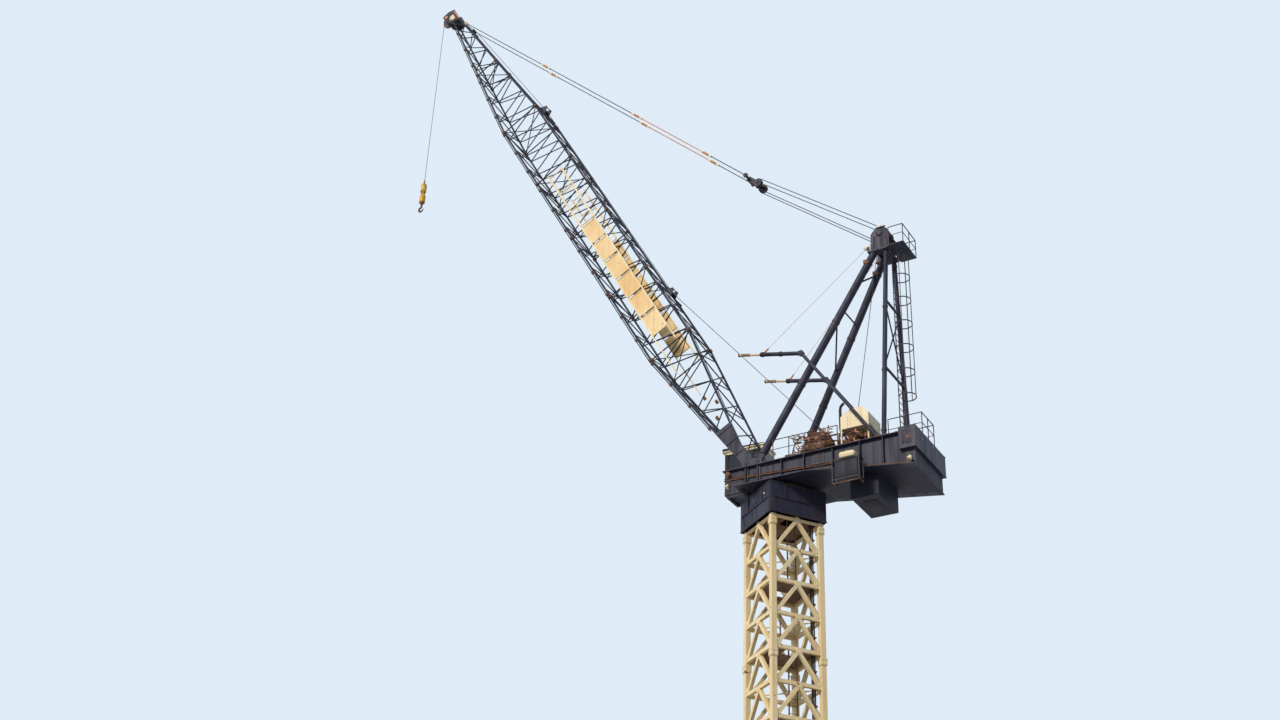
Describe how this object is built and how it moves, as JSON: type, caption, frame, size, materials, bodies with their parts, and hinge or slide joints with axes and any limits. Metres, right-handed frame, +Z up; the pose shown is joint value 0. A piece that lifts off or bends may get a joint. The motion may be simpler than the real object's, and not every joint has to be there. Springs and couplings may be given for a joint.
{
  "type": "luffing jib tower crane, half-size scale model",
  "caption": "Luffing-jib tower crane with a lattice mast on a cross base, a slewing machinery deck with cab and A-frame, a lattice jib and a hook.",
  "frame": {"origin": "middle of the cross base at ground level, on the mast axis", "axes": "+Z up the mast; X and Y along the mast's sides; at rest the jib points 35.14 degrees from +X towards +Y"},
  "size_m": [12.1529, 8.9454, 35.9123],
  "materials": {
    "cream_paint": "satin",
    "navy_paint": "satin",
    "dark_underside": "matte",
    "brown_grating": "matte",
    "ring_steel": "oiled",
    "floor_plate": "matte",
    "slab_concrete": "matte",
    "winch_paint": "weathered",
    "cab_glass": "tinted",
    "salmon_paint": "satin",
    "sheave_steel": "worn",
    "yellow_paint": "satin",
    "hook_steel": "weathered",
    "wire_rope": "greased"
  },
  "bodies": {
    "tower": {"base_frame": "cream_paint", "mast_legs": "cream_paint", "mast_front_bracing": "cream_paint", "mast_back_bracing": "cream_paint", "mast_left_bracing": "cream_paint", "mast_right_bracing": "cream_paint", "mast_platforms": "brown_grating", "mast_ladders": "brown_grating", "tower_top": "navy_paint"},
    "upper": {"slew_ring": "ring_steel", "left_girder": "navy_paint", "right_girder": "navy_paint", "deck_underside": "dark_underside", "deck_floor": "floor_plate", "deck_handrails": "navy_paint", "counterweight_beam": "navy_paint", "counterweight_slabs": "slab_concrete", "machinery_pit": "dark_underside", "winch_frame": "winch_paint", "luffing_winch": "winch_paint", "engine": "winch_paint", "engine_canopy": "cream_paint", "electrical_cabinet": "cream_paint", "cab_body": "cream_paint", "cab_glass": "cab_glass", "cab_bracket": "navy_paint", "left_front_leg": "navy_paint", "right_front_leg": "navy_paint", "rear_legs": "navy_paint", "a_frame_head": "navy_paint", "a_frame_sheaves": "sheave_steel", "head_platform": "navy_paint", "caged_ladder": "navy_paint", "rear_platform": "navy_paint", "buffer_frame": "navy_paint", "luffing_rope": "wire_rope", "luffing_falls": "wire_rope", "deck_hoist_rope": "wire_rope"},
    "hoist_drum": {"hoist_drum": "winch_paint"},
    "left_buffer": {"left_buffer_rod": "salmon_paint"},
    "right_buffer": {"right_buffer_rod": "salmon_paint"},
    "jib": {"jib_foot": "navy_paint", "jib_left_side": "navy_paint", "jib_right_side": "navy_paint", "jib_back_lacing": "navy_paint", "jib_belly_lacing": "navy_paint", "jib_head": "navy_paint", "jib_sheaves": "sheave_steel", "rope_guides": "navy_paint", "jib_hoist_rope": "wire_rope", "jib_panels": "cream_paint", "pendants": "wire_rope", "falls_block": "navy_paint"},
    "hoist_line": {"hanging_rope": "wire_rope"},
    "hook_block": {"hook_weight": "yellow_paint"},
    "hook": {"hook": "hook_steel"}
  },
  "joints": [
    {"name": "slew", "type": "hinge", "parent": "tower", "child": "upper", "pos_m": [0, 0, 17.171], "axis": [0, 0, 1], "continuous": true},
    {"name": "luff", "type": "hinge", "parent": "upper", "child": "jib", "pos_m": [0.38843, 0.2734, 18.4668], "axis": [0.5756, -0.8177, 0], "range_deg": [-45, 15.5], "deforming": ["luffing_falls", "deck_hoist_rope"]},
    {"name": "rope_hang", "type": "hinge", "parent": "jib", "child": "hoist_line", "pos_m": [8.70755, 6.12885, 35.68731], "axis": [0.5756, -0.8177, 0], "range_deg": [-15.5, 45]},
    {"name": "hoist", "type": "slide", "parent": "hoist_line", "child": "hook_block", "axis": [0, 0, 1], "range_m": [-15, 4.75], "deforming": ["hanging_rope"]},
    {"name": "hook_swivel", "type": "hinge", "parent": "hook_block", "child": "hook", "pos_m": [8.88157, 6.25134, 29.17681], "axis": [0, 0, 1], "continuous": true},
    {"name": "drum_spin", "type": "hinge", "parent": "upper", "child": "hoist_drum", "pos_m": [-0.85864, -0.60436, 18.7118], "axis": [-0.5756, 0.8177, 0], "continuous": true},
    {"name": "left_buffer_slide", "type": "slide", "parent": "upper", "child": "left_buffer", "axis": [0.7958, 0.5601, 0.23], "range_m": [-0.25, 0], "stiffness_N_per_m": 20000},
    {"name": "right_buffer_slide", "type": "slide", "parent": "upper", "child": "right_buffer", "axis": [0.7958, 0.5601, 0.23], "range_m": [-0.25, 0], "stiffness_N_per_m": 20000}
  ],
  "couplings": [
    {"joint": "rope_hang", "follows": "luff", "ratio": -1}
  ]
}
